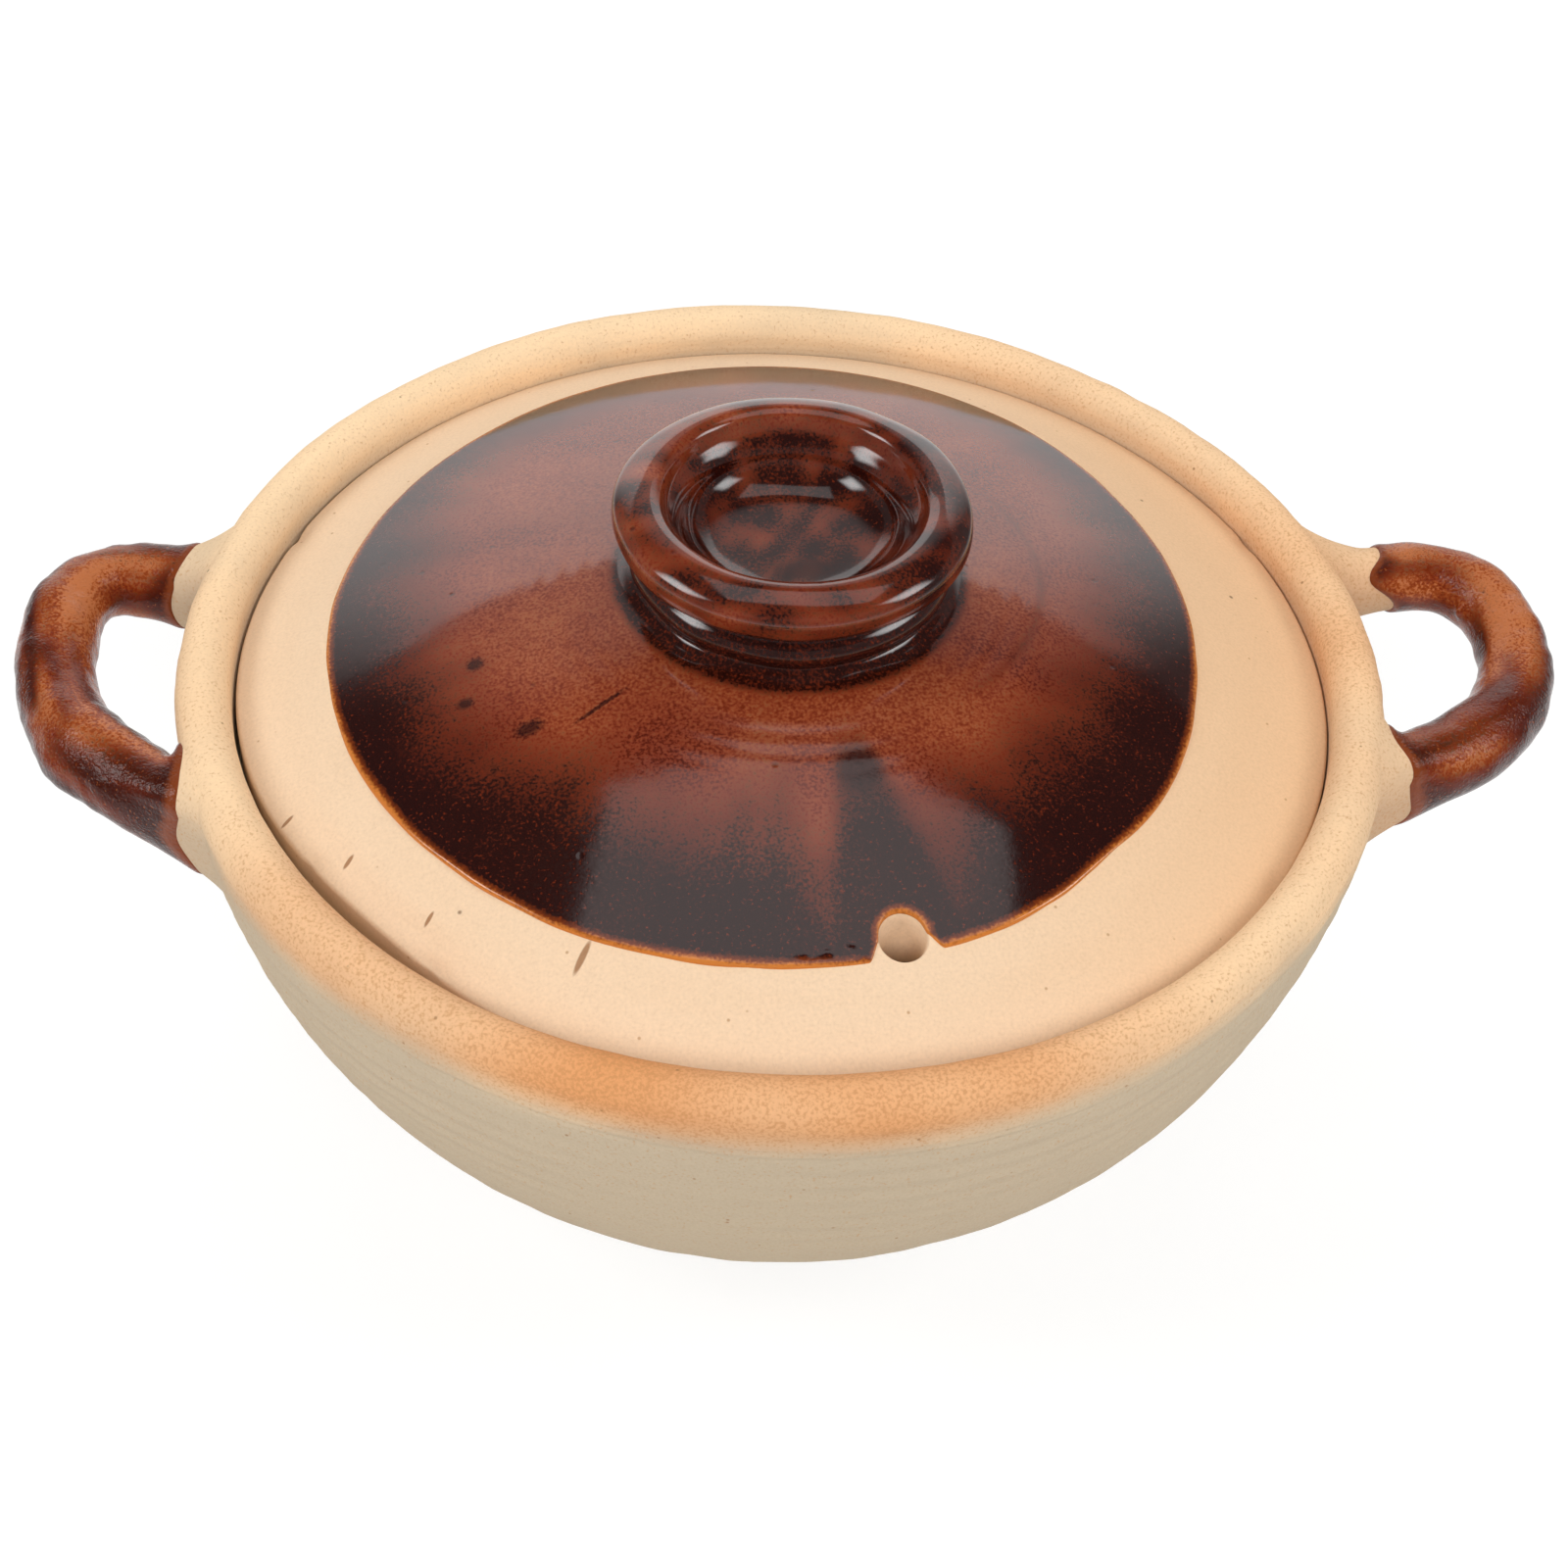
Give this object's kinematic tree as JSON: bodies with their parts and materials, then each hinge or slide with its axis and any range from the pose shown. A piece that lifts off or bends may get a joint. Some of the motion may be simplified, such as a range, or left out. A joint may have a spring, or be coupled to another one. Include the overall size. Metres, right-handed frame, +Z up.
{
  "type": "lidded clay pot",
  "caption": "Round-bellied clay cooking pot with a loop handle on each side and a lift-off domed lid with a cup-shaped knob and a steam vent.",
  "frame": {"origin": "middle of the flat base, on the table", "axes": "+Z up along the pot's axis, +X through the right handle, steam vent towards -Y"},
  "size_m": [0.264, 0.2, 0.1107],
  "materials": {
    "bowl_clay": "unglazed, fired buff clay with fine specks",
    "lid_clay": "unglazed, fired peach clay",
    "brown_glaze": "glossy, mottled iron-brown glaze",
    "liner_glaze": "glossy brown glaze"
  },
  "bodies": {
    "pot": {"pot_base": "bowl_clay", "pot_wall": "bowl_clay", "pot_ledge": "bowl_clay", "pot_lip": "bowl_clay", "bowl_glaze": "liner_glaze", "left_handle": "bowl_clay", "right_handle": "bowl_clay", "left_handle_glaze": "brown_glaze", "right_handle_glaze": "brown_glaze"},
    "lid": {"lid": "lid_clay", "lid_knob": "lid_clay", "lid_glaze": "brown_glaze"}
  },
  "joints": [
    {"name": "lid_lift", "type": "slide", "parent": "pot", "child": "lid", "axis": [0, 0, 1], "range_m": [0, 0.12]}
  ]
}
